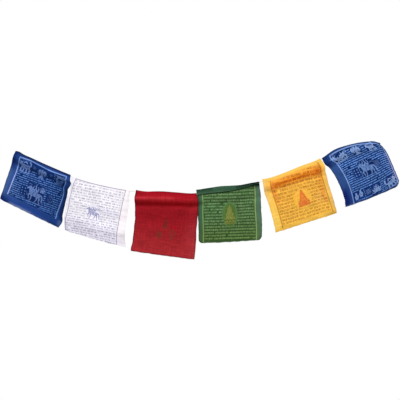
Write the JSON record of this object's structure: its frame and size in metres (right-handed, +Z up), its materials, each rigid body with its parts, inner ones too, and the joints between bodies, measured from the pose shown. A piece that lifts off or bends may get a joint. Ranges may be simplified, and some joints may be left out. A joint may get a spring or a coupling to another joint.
{
  "type": "tibetan prayer flag string",
  "caption": "Hanging string of small block-printed cotton flags in blue, white, red, green and yellow, threaded through their top hems on a thin cord that sags between its ends.",
  "frame": {"origin": "left end of the header cord, where the string is tied up", "axes": "+X from the cord's left end to its right end, +Z up, and the printed faces of the flags face -Y"},
  "size_m": [1.1161, 0.0181, 0.3299],
  "materials": {
    "cord_cotton": "matt twisted cotton cord, undyed",
    "blue_cotton_left": "matt plain-weave cotton, block-printed in pale blue",
    "white_cotton": "matt plain-weave cotton, block-printed in dark grey",
    "red_cotton": "matt plain-weave cotton, with a print that barely shows",
    "green_cotton": "matt plain-weave cotton, block-printed in pale green",
    "yellow_cotton": "matt plain-weave cotton, block-printed in orange brown",
    "blue_cotton_right": "matt plain-weave cotton, block-printed in pale blue"
  },
  "bodies": {
    "root": {"header_cord": "cord_cotton", "flag_1_blue": "blue_cotton_left", "flag_2_white": "white_cotton", "flag_3_red": "red_cotton", "flag_4_green": "green_cotton", "flag_5_yellow": "yellow_cotton", "flag_6_blue": "blue_cotton_right"}
  },
  "joints": []
}
